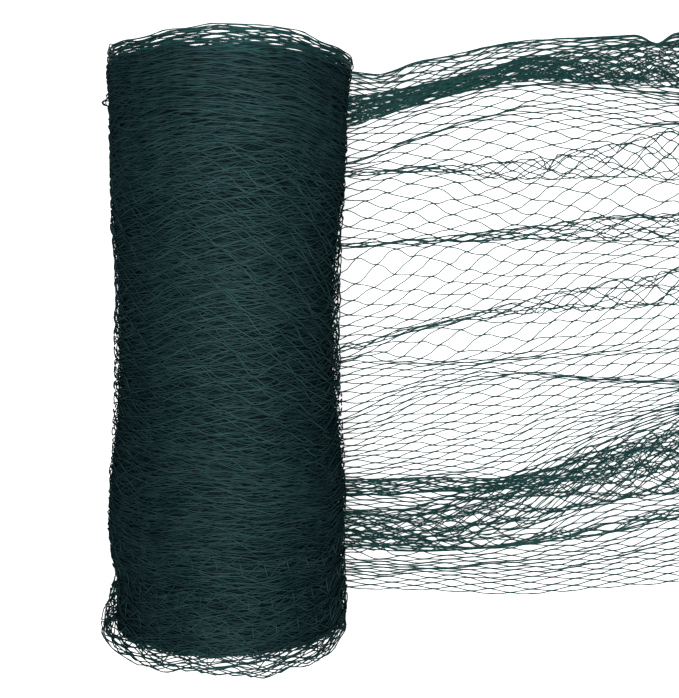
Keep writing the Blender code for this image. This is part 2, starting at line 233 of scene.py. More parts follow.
# Folds of the loose end, from its far edge to its near edge: strands since the row before, at the three count
# stations, lift in mm, and Y in mm at the six stations. A fold's edge is where Y turns back.
FOLDS = (
    # The band along the far edge, folded to and fro
    (0, 0, 0, 2.0, 166.0, 173.9, 180.8, 198.0, 206.3, 207.7),
    (10, 8, 8, 2.6, 185.0, 192.5, 199.4, 211.8, 214.6, 218.0),
    (10, 8, 8, 1.2, 168.0, 173.2, 181.5, 198.7, 204.9, 210.4),
    (6, 6, 6, 0.6, 149.3, 153.9, 170.4, 184.2, 182.5, 179.4),
    (7, 7, 7, 2.6, 167.3, 172.5, 182.8, 199.4, 207.7, 211.8),
    (6, 6, 6, 1.6, 153.3, 158.0, 173.9, 187.0, 186.3, 183.5),
    (7, 7, 6, 3.6, 166.0, 171.1, 181.5, 198.0, 203.5, 207.7),
    (6, 6, 5, 2.4, 151.2, 155.9, 172.5, 185.6, 184.2, 181.5),
    (7, 7, 6, 4.4, 163.9, 169.0, 180.1, 196.6, 200.8, 202.2),
    (5, 5, 5, 3.0, 147.9, 152.5, 170.4, 183.5, 181.8, 178.7),
    (6, 6, 6, 5.0, 161.3, 166.3, 178.7, 195.3, 196.6, 195.3),
    (5, 5, 5, 1.6, 146.6, 151.1, 169.0, 182.2, 180.1, 176.6),
    # The open net below it, with a low ridge
    (3, 3, 4, 0.6, 141.9, 146.3, 163.5, 180.1, 179.4, 174.6),
    (6, 5, 7, 0.8, 125.1, 129.0, 149.0, 164.9, 168.4, 166.3),
    (3, 3, 3, 0.6, 123.2, 127.0, 147.3, 162.1, 162.1, 156.6),
    # A strip that is folded over and crosses open net
    (3, 8, 6, 0.8, 120.5, 124.2, 126.3, 132.5, 142.1, 153.9),
    (3, 3, 5, 0.6, 115.1, 118.7, 121.4, 115.9, 118.0, 115.9),
    (2, 3, 5, 1.9, 119.1, 122.8, 125.6, 130.4, 139.4, 152.5),
    (2, 3, 5, 1.2, 113.8, 117.3, 120.1, 114.5, 117.3, 113.8),
    # Open net, and a strip that lies double
    (13, 10, 8, 0.4, 68.3, 70.4, 72.4, 75.2, 74.5, 73.1),
    (2, 5, 7, 1.5, 70.2, 72.4, 76.6, 83.5, 91.1, 93.8),
    (3, 5, 7, 0.9, 66.9, 69.0, 70.4, 70.4, 70.4, 69.0),
    # A wedge of open net, and slanting folds from the roll
    (3, 3, 1, 0.3, 45.5, 46.9, 51.1, 55.9, 62.8, 64.9),
    (4, 3, 1, 0.3, 24.7, 25.5, 33.8, 44.8, 56.6, 62.1),
    (6, 2, 1, 0.7, -6.0, 4.8, 17.6, 34.5, 48.3, 58.6),
    (2, 3, 5, 0.6, -13.0, -1.4, 14.5, 23.5, 26.2, 30.4),
    (2, 3, 5, 1.9, -9.0, 2.1, 16.6, 33.1, 45.5, 55.9),
    (2, 3, 5, 0.9, -16.5, -4.8, 13.8, 22.1, 25.5, 29.7),
    # Open net on the near side of the middle, with a ridge
    (3, 6, 7, 0.4, -19.0, -8.3, -8.3, -5.5, -0.7, 2.8),
    (2, 4, 3, 0.5, -22.0, -10.3, -11.0, -8.3, -5.5, -2.8),
    (11, 3, 5, 0.5, -46.0, -40.0, -24.1, -15.9, -20.0, -21.4),
    (3, 4, 5, 1.0, -55.0, -47.6, -29.7, -17.9, -22.1, -23.5),
    (7, 8, 9, 0.3, -63.0, -61.4, -50.4, -41.4, -41.4, -37.3),
    # The two gathers near the roll
    (14, 18, 14, 0.5, -85.7, -88.3, -86.9, -86.2, -67.6, -50.4),
    (11, 7, 6, 0.6, -98.4, -101.4, -98.7, -96.6, -87.6, -78.0),
    (9, 7, 6, 1.9, -87.0, -89.7, -88.3, -87.6, -71.1, -56.6),
    (10, 7, 6, 1.2, -101.1, -104.2, -104.2, -102.8, -94.5, -83.5),
    (3, 3, 3, 2.4, -105.7, -109.0, -104.2, -84.2, -64.2, -49.0),
    (9, 8, 8, 1.6, -124.5, -128.3, -129.7, -118.0, -106.3, -98.0),
    (9, 8, 7, 3.6, -107.1, -110.4, -107.6, -89.0, -69.0, -54.5),
    (10, 10, 7, 2.6, -131.8, -135.9, -133.9, -123.5, -107.6, -98.7),
    (10, 9, 7, 4.6, -109.1, -112.5, -112.5, -96.6, -75.2, -61.4),
    (9, 8, 8, 3.2, -127.8, -131.8, -135.9, -132.5, -106.3, -98.0),
    # The hem, and the strip along the near edge
    (4, 10, 13, 1.0, -133.9, -138.0, -139.4, -135.2, -128.3, -115.9),
    (3, 3, 3, 2.2, -119.8, -123.5, -130.4, -127.6, -120.7, -107.6),
    (3, 3, 3, 1.2, -137.2, -141.4, -141.4, -137.3, -130.4, -118.0),
    (12, 14, 13, 0.4, -150.5, -155.2, -156.6, -158.0, -153.2, -149.0),
    (5, 5, 5, 0.3, -160.0, -164.9, -166.3, -169.0, -164.9, -160.8),
)

# Shifts of the strands against their neighbours: height in strands, strands a wave, waves a metre, phase
STRAND_WAVES = (
    (0.55, 7.3, 9.0, 0.4), (0.50, 10.9, -13.0, 2.1), (0.45, 5.2, 19.0, 4.0), (0.50, 15.0, 27.0, 1.2),
    (0.70, 31.0, 7.0, 5.0),
)
# Small shifts that every strand has, so that no two meshes are alike
LEG_WAVES = ((0.10, 3.7, 37.0, 0.9), (0.08, 2.6, -53.0, 2.2), (0.10, 9.0, 21.0, 4.4))
CLOSE_SPACING = 0.0016  # the larger shifts die away where strands lie further apart than this

# A pinch in the far edge: place and length along X, the Y it gathers to, its share, the last strand it takes
PINCH = (0.2885, 0.0085, 0.2090, 0.88, 30.0)
# A dip of the far edge beside the roll: place and length along X, shift along Y, the last strand it takes
DIP = (0.0985, 0.0170, -0.0062, 22.0)
# Drift of the knots along X: height in metres, strands a wave, waves a metre, phase
KNOT_WAVES = ((0.0034, 61.0, 3.0, 0.7), (0.0022, 27.0, -6.0, 3.3), (0.0010, 11.0, 9.0, 5.1))
# Waves of the net off the surface: height in metres, strands a wave, waves a metre, phase
RISE_WAVES = ((0.00045, 23.0, 17.0, 1.0), (0.00035, 9.0, 29.0, 2.6))

# Stage
FLOOR_SIZE = 6.0
FLOOR_DROP = 0.0002  # it lies this far under the net
LAMP_SIZE = 0.8
LAMP_PLACE = (0.07, 0.0, 1.7)


def length_setting(name, about, value, low, high, **more):
    """A length that the user can set."""
    return bpy.props.FloatProperty(name=name, description=about, default=value, min=low, max=high,
                                   subtype="DISTANCE", unit="LENGTH", **more)


def colour_setting(name, about, value):
    """A colour that the user can set."""
    return bpy.props.FloatVectorProperty(name=name, description=about, default=value, size=3,
                                         min=0.0, max=1.0, subtype="COLOR")


class NettingSettings(bpy.types.PropertyGroup):
    """Sizes and colours of the twine."""

    twine_radius: length_setting(
        "Twine Radius", "Half the thickness of one strand of the net", 0.00035, 0.0001, 0.001, precision=5)
    corners: bpy.props.IntProperty(
        name="Corners", description="Corners of the drawn net's twine, seen end on", default=3, min=3, max=6)
    gloss: bpy.props.FloatProperty(
        name="Gloss", description="Strength of the twine's reflections",
        default=0.03, min=0.0, max=1.0, subtype="FACTOR")
    drawn_dark: colour_setting("Drawn Dark", "Darker colour of the drawn net", (0.004, 0.026, 0.025))
    drawn_light: colour_setting("Drawn Light", "Lighter colour of the drawn net", (0.018, 0.066, 0.063))
    # The wound net is the same twine given its own darker dark and lighter light colour: the ends of its
    # painted shade and painted highlight
    wound_dark: colour_setting("Wound Dark", "Darker colour of the wound net", (0.003, 0.010, 0.012))
    wound_light: colour_setting("Wound Light", "Lighter colour of the wound net", (0.036, 0.080, 0.083))


class StageSettings(bpy.types.PropertyGroup):
    """Camera, surface and light."""

    camera_height: length_setting("Camera Height", "Height of the camera above the surface", 0.98, 0.3, 5.0)
    camera_x: length_setting("Camera X", "Place of the camera along the drawn net", 0.0706, -1.0, 1.0)
    view_size: length_setting(
        "View Size", "Length of surface between the picture's lower and upper edge", 0.4816, 0.1, 5.0)
    key_power: bpy.props.FloatProperty(
        name="Key Power", description="Power of the soft light overhead, in watts",
        default=46.0, min=0.0, max=500.0)
    room_light: bpy.props.FloatProperty(
        name="Room Light", description="Strength of the even light from all round",
        default=0.18, min=0.0, max=10.0)


# Shapes


def cubic(t, span, start, end, start_slope, end_slope):
    """The cubic piece with these values and slopes at t = 0 and t = 1, over a span of the given length."""
    rise = start * (2 * t**3 - 3 * t**2 + 1) + end * (3 * t**2 - 2 * t**3)
    bend = start_slope * (t**3 - 2 * t**2 + t) + end_slope * (t**3 - t**2)
    return rise + bend * span


def smooth_through(places, values, at):
    """A curve through the given values: cubic pieces with the slopes of the neighbours' chord."""
    slopes = np.gradient(values, places)
    at = np.clip(at, places[0], places[-1])
    piece = np.clip(np.searchsorted(places, at, side="right") - 1, 0, len(places) - 2)
    span = places[piece + 1] - places[piece]
    t = (at - places[piece]) / span
    return cubic(t, span, values[piece], values[piece + 1], slopes[piece], slopes[piece + 1])


def from_table(rows, column, at):
    """A column of a table, on a smooth curve over its first column."""
    table = np.array(rows)
    return smooth_through(table[:, 0], table[:, column], at)


def ramp(value, start, end):
    """0 before start, 1 after end, smooth between them: t * t * (3 - 2 t)."""
    t = np.clip((value - start) / (end - start), 0.0, 1.0)
    return t * t * (3.0 - 2.0 * t)


def unit(vectors):
    """The vectors at length one."""
    return vectors / np.maximum(np.linalg.norm(vectors, axis=-1, keepdims=True), 1e-12)


def wave_field(waves, strand, along):
    """A smooth uneven field: the sum of height * sin(2 pi * turns + phase), where turns is strand / strands a
    wave + along * waves a metre."""
    total = np.zeros(np.broadcast(strand, along).shape)
    for height, strands_a_wave, waves_a_metre, phase in waves:
        total += height * np.sin(2 * math.pi * (strand / strands_a_wave + along * waves_a_metre) + phase)
    return total


def ring_waves(waves, seed, along, angle):
    """Waves that close round the roll: the sum of height * sin(2 pi along / length + turns * angle + phase),
    with turns, a whole number, and the phase drawn from the seed."""
    draw = np.random.default_rng(seed)
    total = np.zeros(np.broadcast(along, angle).shape)
    for height, length, most_turns in waves:
        turns = int(draw.integers(-most_turns, most_turns + 1))
        phase = draw.uniform(0.0, 2 * math.pi)
        total += height * np.sin(2 * math.pi * along / length + turns * angle + phase)
    return total


def zigzag(step):
    """One strand's swing between its neighbours: a mix of a triangle wave and a cosine, from 1 at even steps
    to -1 at odd ones."""
    phase = np.mod(step, 2.0)
    triangle = 1.0 - 2.0 * np.where(phase > 1.0, 2.0 - phase, phase)
    return (1.0 - LEG_BEND) * triangle + LEG_BEND * np.cos(math.pi * step)


def knot_mask(step):
    """1 at a knot, which is at each whole step, falling to 0 within a knot's reach."""
    distance = np.abs(step - np.round(step))
    return np.exp(-(distance / KNOT_REACH) ** 2)


def tube_corners(paths, up, radius, sides):
    """Corners of tubes round paths of shape (strands, points, 3): path + reach * (cos a * across + sin a *
    raised). Across is the direction crossed with up, and raised is across crossed with the direction. The
    reach gives the flat-sided tube the girth of a round one of that radius."""
    direction = unit(np.gradient(paths, axis=1))
    across = unit(np.cross(direction, up))
    raised = np.cross(across, direction)
    turn = 2 * math.pi * (np.arange(sides) + 0.5) / sides
    ring = np.cos(turn)[:, None] * across[:, :, None, :] + np.sin(turn)[:, None] * raised[:, :, None, :]
    reach = radius * math.pi / (sides * math.sin(math.pi / sides))
    return paths[:, :, None, :] + reach[:, :, None, None] * ring


def quads(here, ahead):
    """Quads between closed rings of corner numbers and the next rings."""
    rings = [here, ahead, np.roll(ahead, -1, axis=-1), np.roll(here, -1, axis=-1)]
    return np.stack(rings, axis=-1).reshape(-1, 4)


def tube_faces(strands, points, sides, closed):
    """The tubes' walls, turned outwards, and for open tubes the two faces that close their ends."""
    number = np.arange(strands * points * sides).reshape(strands, points, sides)
    if closed:
        return [quads(number, np.roll(number, -1, axis=1))]
    return [quads(number[:, :-1], number[:, 1:]), number[:, 0], number[:, -1, ::-1]]


def ring_corners(*arrays, sides):
    """As tube_corners, for paths that close on themselves."""
    wrapped = [np.concatenate([array[:, -1:], array, array[:, :1]], axis=1) for array in arrays]
    return tube_corners(*wrapped, sides=sides)[:, 1:-1]


def twine(shape, paths, up, step, tone, radius, sides):
    """Corners and fields of twine along paths, as tubes of the given kind that swell at the knots."""
    knot = np.broadcast_to(knot_mask(step), paths.shape[:2])
    corners = shape(paths, up, radius * (1.0 + KNOT_SWELL * knot), sides=sides)
    fields = {"knot": np.repeat(knot.ravel(), sides), "tone": np.repeat(tone.ravel(), sides)}
    return corners.reshape(-1, 3), fields


def new_object(name, data):
    """A new object in the scene."""
    made = bpy.data.objects.new(name, data)
    bpy.context.collection.objects.link(made)
    return made


def new_piece(name, corners, faces, material, node, fields):
    """A named object from corners, arrays of faces with the same number of corners each, and fields with one
    value a corner."""
    mesh = bpy.data.meshes.new(name)
    corners = np.ascontiguousarray(corners.reshape(-1, 3), dtype=np.float32)
    loops = np.concatenate([group.ravel() for group in faces]).astype(np.int32)
    sizes = np.concatenate([np.full(len(group), group.shape[1]) for group in faces])
    starts = np.concatenate([[0], np.cumsum(sizes)[:-1]]).astype(np.int32)
    mesh.vertices.add(len(corners))
    mesh.vertices.foreach_set("co", corners.ravel())
    mesh.loops.add(len(loops))
    mesh.loops.foreach_set("vertex_index", loops)
    mesh.polygons.add(len(sizes))
    mesh.polygons.foreach_set("loop_start", starts)
    mesh.update(calc_edges=True)
    mesh.shade_smooth()
    for field, values in fields.items():
        layer = mesh.attributes.new(name=field, type="FLOAT", domain="POINT")
        layer.data.foreach_set("value", np.ascontiguousarray(values, dtype=np.float32).ravel())
    mesh.materials.append(material)
    piece = new_object(name, mesh)
    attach(piece, BODY)
    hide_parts(node)
    return piece


# The roll


def away_from_floor(angle):
    """1 on the crown and sides of the roll, 0 near its resting face."""
    from_floor = np.abs(np.angle(np.exp(1j * (angle + math.pi / 2))))
    return ramp(from_floor, SLACK_FADE / 2, SLACK_FADE)


def ridges(angle, along):
    """Slanting ridges of the outer turns: height * sin(turns * angle + slant * along + a wander)."""
    wander = TWIST_WANDER * np.sin(2 * angle + WANDER_ALONG * along)
    rise = TWIST_RISE * np.sin(TWISTS_AROUND * angle + TWISTS_ALONG * along + wander)
    return rise * away_from_floor(angle)


def bulges(angle, along):
    """Bulges of slack net, each height * exp(-(distance along Y / length)^2 - (turn / half angle)^2)."""
    rise = np.zeros(np.broadcast(angle, along).shape)
    for place, degrees, height, length, half_angle in SLACK_BULGES:
        turn = np.degrees(np.angle(np.exp(1j * (angle - math.radians(degrees)))))
        rise = rise + height * np.exp(-((along - place) / length) ** 2 - (turn / half_angle) ** 2)
    return rise * away_from_floor(angle)


def dense_gap(angle, along):
    """How much further in the dense part lies than the outline: the table's value for that side, times the
    square of the cosine."""
    table = np.array(GAP_SECTIONS) * MM
    across = np.cos(angle)
    return np.where(across > 0.0, from_table(table, 1, along), from_table(table, 2, along)) * across * across


def roll_radius(along):
    """The roll's radius along Y, on a smooth curve through its sections."""
    return from_table(ROLL_SECTIONS, 1, along)


def roll_point(angle, along, reach):
    """Points at a reach from the roll's middle line and an angle from +X, and never under the surface."""
    x = from_table(ROLL_SECTIONS, 2, along) + reach * np.cos(angle)
    z = np.maximum(roll_radius(along) - ROLL_SINK + reach * np.sin(angle), NET_REST)
    return np.stack([x, along, z], axis=-1)


def end_edge(side, angle, kind):
    """Distance of an end's core face or rim from the middle. The core face's grows from the sides to the
    crown by the sine, and the rim's is read from the table by its angle, with small ruffles."""
    if kind == "core":
        at_side, at_crown = ROLL_ENDS[side]
        return at_side + (at_crown - at_side) * np.sin(angle)
    degrees = np.mod(np.degrees(angle) + 90.0, 360.0) - 90.0
    rim = from_table(RIM_SECTIONS, 1 if side < 0 else 2, degrees) * MM
    return rim + sum(rise * np.sin(waves * angle + side) for waves, rise in RUFFLES)


def turn_parts(path, angle, step, strand, seed, depth, twine_radius):
    """Corners, faces and fields of closed turns of twine round the roll.

    The tone is the product of four parts: a small unevenness, a painted highlight on the lightest line that
    falls to painted shade on the sides by a power of the sine, a darker near half, and painted shade of the
    deeper layers, exp(-depth / its depth constant) for the depth under the outline."""
    up = np.stack([np.cos(angle), np.zeros_like(angle), np.sin(angle)], axis=-1)
    change = np.sin(strand * STRAND_PHASE + seed) * np.cos(angle * 3.0 + strand)
    uneven = 1.0 - TONE_UNEVEN + TONE_UNEVEN * change
    # Painted highlight along the lightest line by the crown, falling off into painted shade on the sides
    raised = np.maximum(np.sin(angle + PAINTED_HIGHLIGHT_TURN), 0.0) ** PAINTED_HIGHLIGHT_FALLOFF
    crown = SIDES_PAINTED_SHADE + (CROWN_PAINTED_HIGHLIGHT - SIDES_PAINTED_SHADE) * raised
    near = 1.0 - TONE_NEAR * ramp(-path[..., 1], *TONE_NEAR_Y)
    # The last factor is painted shade that darkens the deeper layers
    tone = uneven * crown * near * math.exp(-depth / PAINTED_SHADE_DEPTH)
    corners, fields = twine(ring_corners, path, up, step, tone, twine_radius, TURN_SIDES)
    return corners, tube_faces(*angle.shape, TURN_SIDES, True), fields


def turn_steps(strands, points, legs, seed):
    """The numbers of a layer's strands, the steps along their zigzags, half their swing, whose sign changes
    from strand to strand, and the angles of their points: 2 pi (step + drift) / legs, with a drift that is a
    sum of sines over the strands."""
    strand = np.arange(strands, dtype=float)[:, None]
    step = np.arange(points)[None, :] * legs / points
    drift = sum(height * np.sin(strand / wave + share * seed) for height, wave, share in TURN_DRIFTS)
    half_swing = 0.5 * np.where(strand % 2, 1.0, -1.0) * zigzag(step)
    return strand, step, half_swing, 2 * math.pi * (step + drift) / legs + LAYER_TURN * seed


def loose_reach(row, along, angle):
    """Height of a layer's strands from the roll's middle line: its radius less the depth, lifted by waves."""
    waves = ring_waves(RADIAL_WAVES, row["seed"] + RISE_SEED, along, angle)
    return roll_radius(along) - row["depth"] + row["uneven"] * waves * away_from_floor(angle)


def wound_layer(layer, points, edge, twine_radius):
    """One layer of wound net between the two ends' core faces or rims: closed zigzag turns side by side.

    A strand's place along the roll is start + (end - start) * (number + half a swing) / strands between the
    two ends, shifted by waves, and its angle lags behind by the lean times the same number. Its height is the
    roll's radius, ridges and bulges less the layer's depth and gap."""
    row = dict(zip(LAYER_COLUMNS, layer))
    seed = row["seed"]
    strand, step, half_swing, angle = turn_steps(row["strands"], points, row["legs"], seed)
    angle = angle - 2 * math.pi / row["legs"] * row["lean"] * (strand + half_swing)
    low = -end_edge(-1, angle, edge)
    high = end_edge(1, angle, edge)
    centre = row["start"] + (row["end"] - row["start"]) * (strand + 0.5) / row["strands"]
    swing = np.full_like(centre, row["swing"])
    if edge == "rim":
        middle = low.mean() + (high.mean() - low.mean()) * centre
        swing = swing * from_table(SWING_SECTIONS, 1, middle / MM)
    share = (row["end"] - row["start"]) / row["strands"]
    place = np.clip(centre + share * swing * half_swing, 0.0, 1.0)
    even = low + (high - low) * place
    room = np.minimum(even - low, high - even)
    shift = row["wander"] * ring_waves(AXIAL_WAVES, seed, even, angle) - 0.5 * row["slant"] * np.cos(angle)
    along = even + shift * ramp(room, 0.0, END_EASE)
    reach = loose_reach(row, along, angle)
    reach = reach + row["ridges"] * ridges(angle, along) + row["bulges"] * bulges(angle, along)
    reach = reach - row["gap"] * dense_gap(angle, along)
    path = roll_point(angle, along, reach)
    return turn_parts(path, angle, step, strand, seed, row["depth"], twine_radius)


def rim_layer(layer, twine_radius):
    """Turns in one ruffled rim, spaced evenly from the core face to the rim and shifted by waves."""
    row = dict(zip(RIM_COLUMNS, layer))
    side, seed = row["side"], row["seed"]
    strand, step, half_swing, angle = turn_steps(row["turns"], SLACK_POINTS, RIM_LEGS, seed)
    spacing = (row["end"] - row["start"]) / row["turns"]
    share = row["start"] + spacing * (strand + 0.5 + row["swing"] * half_swing)
    core = end_edge(side, angle, "core")
    rim = end_edge(side, angle, "rim")
    waves = row["wander"] * ring_waves(RIM_WAVES, seed, share * RIM_LENGTH, angle)
    along = side * np.minimum(core + (rim - core) * share + waves, rim + RIM_PAST)
    reach = loose_reach(row, along, angle) + bulges(angle, along)
    return turn_parts(roll_point(angle, along, reach), angle, step, strand, seed, 0.0, twine_radius)


def joined_turns(name, parts, material):
    """Several sets of turns as one joined mesh."""
    firsts = np.cumsum([0] + [len(part[0]) for part in parts[:-1]])
    faces = [np.concatenate([group + first for group, first in zip(groups, firsts)])
             for groups in zip(*(part[1] for part in parts))]
    corners = np.concatenate([part[0] for part in parts])
    fields = {field: np.concatenate([part[2][field] for part in parts]) for field in parts[0][2]}
    return new_piece(name, corners, faces, material, "net_roll", fields)


def core_rings():
    """Rings of points over the dark inner body, from the middle of one end over the outside to the other. An
    end face rises and falls in a spiral, by the cosine of 2 pi * turns * share of radius less the angle."""
    angle = (np.arange(CORE_AROUND) + 0.5) * 2 * math.pi / CORE_AROUND
    rings = []
    for side in (-1, 1):
        face = []
        edge = side * (end_edge(side, angle, "core") - CORE_INSET)
        full = roll_radius(edge) - dense_gap(angle, edge) - CORE_DEPTH
        for share in np.linspace(CORE_FACE_EDGE, EYE_RADIUS / CORE_FACE_RADIUS, CORE_FACE_RINGS):
            spiral = SPIRAL_RISE * np.cos(2 * math.pi * SPIRAL_TURNS * share - side * angle)
            face.append(roll_point(angle, edge - side * SPIRAL_RISE + spiral, full * share))
        deep = np.full_like(angle, side * (EYE_MOUTH - EYE_DEPTH))
        for share in EYE_FLOOR:
            face.append(roll_point(angle, deep, np.full_like(angle, EYE_RADIUS * share)))
        rings.append(face)
    low = -end_edge(-1, angle, "core") + CORE_INSET
    high = end_edge(1, angle, "core") - CORE_INSET
    outside = []
    for share in np.linspace(0.0, 1.0, CORE_ALONG):
        along = low + (high - low) * share
        reach = roll_radius(along) + CORE_RIDGES * ridges(angle, along) - dense_gap(angle, along)
        outside.append(roll_point(angle, along, reach - CORE_DEPTH))
    return np.array(rings[0][::-1] + outside + rings[1])


def core_piece(material):
    """The dark inner body of the roll, closed at both ends."""
    rings = core_rings()
    rows, around = rings.shape[:2]
    number = np.arange(rows * around).reshape(rows, around)
    faces = [quads(number[:-1], number[1:])[:, ::-1], np.stack([number[0][::-1], number[-1]])]
    share = np.linspace(0.0, 1.0, rows)[:, None] + np.zeros((1, around))
    fields = {"tone": share, "knot": np.zeros_like(share)}
    return new_piece("wound_net_body", rings, faces, material, "net_roll", fields)


def end_spirals(settings, material):
    """Edges of the wound layers in both ends: strands that spiral from the eye to the rim. The reach grows
    evenly with the angle, with small waves, and the strand swings along Y once every two legs."""
    count = END_TURNS * END_TURN_POINTS
    share = np.linspace(0.0, 1.0, count)[None, :]
    number = np.arange(END_SPIRALS)[:, None]
    angle = 2 * math.pi * END_TURNS * share + END_STEP * number
    step = angle * (END_FIRST_LEGS + (1.0 - END_FIRST_LEGS) * share) * END_LEGS / (2 * math.pi) + number
    room = END_RADIUS - EYE_RADIUS
    even = EYE_RADIUS + room * share + room / END_TURNS * (number / END_SPIRALS - 0.5)
    even = even + END_RUFFLE[0] * np.sin(END_RUFFLE[1] * angle + number)
    even = even + END_DRIFT[0] * np.sin(END_DRIFT[1] * share + number)
    flutter = END_FLUTTER[0] * np.sin(END_FLUTTER[1] * angle + 1.7 * number)
    swing = END_SWING * zigzag(step) + flutter + END_SPREAD * np.sin(2.3 * number)
    tone = 0.5 + 0.5 * np.sin(angle * 1.3 + number)
    parts = []
    for side in (-1, 1):
        along = side * (end_edge(side, angle, "core") + swing - END_BACK)
        paths = roll_point(angle, along, np.minimum(even, roll_radius(along) - END_DEPTH))
        up = np.broadcast_to(np.array([0.0, float(side), 0.0]), paths.shape)
        corners, fields = twine(tube_corners, paths, up, step, tone, settings.twine_radius, END_SIDES)
        parts.append((corners, tube_faces(END_SPIRALS, count, END_SIDES, False), fields))
    return joined_turns("wound_net_ends", parts, material)


# The loose end


def fold_slopes(strands, heights):
    """Slopes of a curve through the folds that never overshoots: nought where it turns back, and otherwise
    the weighted harmonic mean of the two chords."""
    span = np.diff(strands, axis=0)
    chord = np.diff(heights, axis=0) / span
    before, after = chord[:-1], chord[1:]
    first = 2 * span[1:] + span[:-1]
    second = span[1:] + 2 * span[:-1]
    same_way = before * after > 0
    before, after = np.where(same_way, before, 1.0), np.where(same_way, after, 1.0)
    mean = (first + second) / (first / before + second / after)
    inner = np.where(same_way, mean, 0.0)
    return np.concatenate([chord[:1], inner, chord[-1:]])


class FoldTable:
    """Values over the loose end from the table of folds: smooth along X, and without overshoot over the
    strands. The strands between two folds change in number along X, so strands pass from one to the next."""

    def __init__(self):
        table = np.array(FOLDS)
        self.fine = np.linspace(STATIONS[0], STATIONS[-1] + NET_PAST, NET_PLACES)
        counts = np.cumsum(table[:, :3], axis=0)
        self.last = counts[-1, 0]
        self.strands = np.array([np.interp(self.fine, COUNT_STATIONS, row) for row in counts])
        self.y = np.array([self.along(np.array(STATIONS), row) for row in table[:, 4:]]) * MM
        self.lift = table[:, 3:4] * MM * np.ones((1, len(self.fine)))

    def along(self, places, values):
        """Smooth values along X, carried straight on past the last station at half their last slope."""
        last = (values[-1] - values[-2]) / (places[-1] - places[-2])
        beyond = np.maximum(self.fine - places[-1], 0.0)
        return smooth_through(places, values, self.fine) + 0.5 * last * beyond

    def value(self, kind, strand, x):
        """Cubic pieces over the strands with fold_slopes, and straight lines between places along X."""
        heights = getattr(self, kind)
        slopes = fold_slopes(self.strands, heights)
        strand = np.clip(strand, 0.0, self.last)
        place = (np.clip(x, self.fine[0], self.fine[-1]) - self.fine[0]) / (self.fine[1] - self.fine[0])
        column = np.clip(place.astype(int), 0, len(self.fine) - 2)
        part = place - column

        def across(array, rows):
            return array[rows, column] * (1.0 - part) + array[rows, column + 1] * part

        here = self.strands[:, column] * (1.0 - part) + self.strands[:, column + 1] * part
        piece = np.clip((strand[None] >= here).sum(axis=0) - 1, 0, len(self.strands) - 2)
        start = across(self.strands, piece)
        span = across(self.strands, piece + 1) - start
        t = np.clip((strand - start) / span, 0.0, 1.0)
        return cubic(t, span, across(heights, piece), across(heights, piece + 1),
                     across(slopes, piece), across(slopes, piece + 1))


def drawn_paths():
    """Middle lines of the drawn strands.

    Strand j swings between strand numbers j - 1/2 and j + 1/2 and touches its neighbours there, at the knots.
    Y and the lift are read from the table of folds at that number, shifted by waves where the strands lie
    close. X is an even step that drifts with the strand number."""
    folds = FoldTable()
    last = folds.last
    number = np.arange(int(last) + 1)[:, None]
    step = np.arange(int(NET_LEGS * LEG_POINTS) + 1)[None, :] / LEG_POINTS
    parity = np.where(number % 2, -1.0, 1.0)
    strand = number + 0.5 * parity * zigzag(step)
    even_x = NET_START + step * LEG_LONG
    free = ramp(step, 0.0, NET_EASE) * (1.0 - ramp(step, NET_LEGS - NET_EASE, NET_LEGS))
    x = even_x + free * wave_field(KNOT_WAVES, strand, even_x)
    spacing = np.abs(folds.value("y", strand + 0.5, x) - folds.value("y", strand - 0.5, x))
    closeness = 1.0 / (1.0 + (spacing / CLOSE_SPACING) ** 2)
    inside = ramp(np.minimum(strand, last - strand), 0.0, EDGE_EASE)
    shift = closeness * wave_field(STRAND_WAVES, strand, x) + wave_field(LEG_WAVES, strand, x)
    shifted = strand + inside * shift
    y = folds.value("y", shifted, x)
    place, length, shift, reach = DIP
    y = y + shift * np.exp(-((x - place) / length) ** 2) * (1.0 - ramp(strand, reach / 2, reach))
    place, length, middle, share, reach = PINCH
    pull = share * np.exp(-((x - place) / length) ** 2) * (1.0 - ramp(strand, reach / 2, reach))
    y = y + pull * (middle - y)
    from_roll = ramp(x, *(NET_START + place for place in LIFT_X))
    z = NET_REST + from_roll * (folds.value("lift", shifted, x) + np.abs(wave_field(RISE_WAVES, strand, x)))
    return np.stack([x, y, z], axis=-1), step


def drawn_net(settings, material):
    """The loose end: every strand a thin tube. The gathers near the roll have less tone, because they lie in
    their own shade: ramps take it in and out along -Y, and out along X."""
    paths, step = drawn_paths()
    up = np.broadcast_to(np.array([0.0, 0.0, 1.0]), paths.shape)
    number = np.arange(paths.shape[0])[:, None]
    x, low = paths[..., 0], -paths[..., 1]
    shade = ramp(low, *SHADE_Y[:2]) * (1.0 - ramp(low, *SHADE_Y[2:])) * (1.0 - ramp(x, *SHADE_X))
    tone = NET_TONE + NET_UNEVEN * np.sin(STRAND_PHASE * number + NET_UNEVEN_ALONG * x)
    tone = tone * (1.0 - SHADE_DARK * shade)
    corners, fields = twine(tube_corners, paths, up, step, tone, settings.twine_radius, settings.corners)
    faces = tube_faces(*paths.shape[:2], settings.corners, False)
    return new_piece("drawn_net", corners, faces, material, "loose_end", fields)


# Materials


def add_node(tree, kind, values=(), sources=(), **options):
    """A shader node with its options, then its inputs' own values and the outputs that feed them."""
    node = tree.nodes.new("ShaderNode" + kind)
    for name, value in options.items():
        setattr(node, name, value)
    for name, value in dict(values).items():
        node.inputs[name].default_value = value
    for name, output in dict(sources).items():
        tree.links.new(output, node.inputs[name])
    return node


def new_shader(name):
    """A new material, and its node tree and shader."""
    material = bpy.data.materials.new(name)
    material.use_nodes = True
    return material, material.node_tree, material.node_tree.nodes["Principled BSDF"]


def add_bump(tree, shader, height, strength, distance):
    """Relief from a height, of the given strength and depth in metres."""
    relief = add_node(tree, "Bump", {"Strength": strength, "Distance": distance}, {"Height": height})
    tree.links.new(relief.outputs["Normal"], shader.inputs["Normal"])


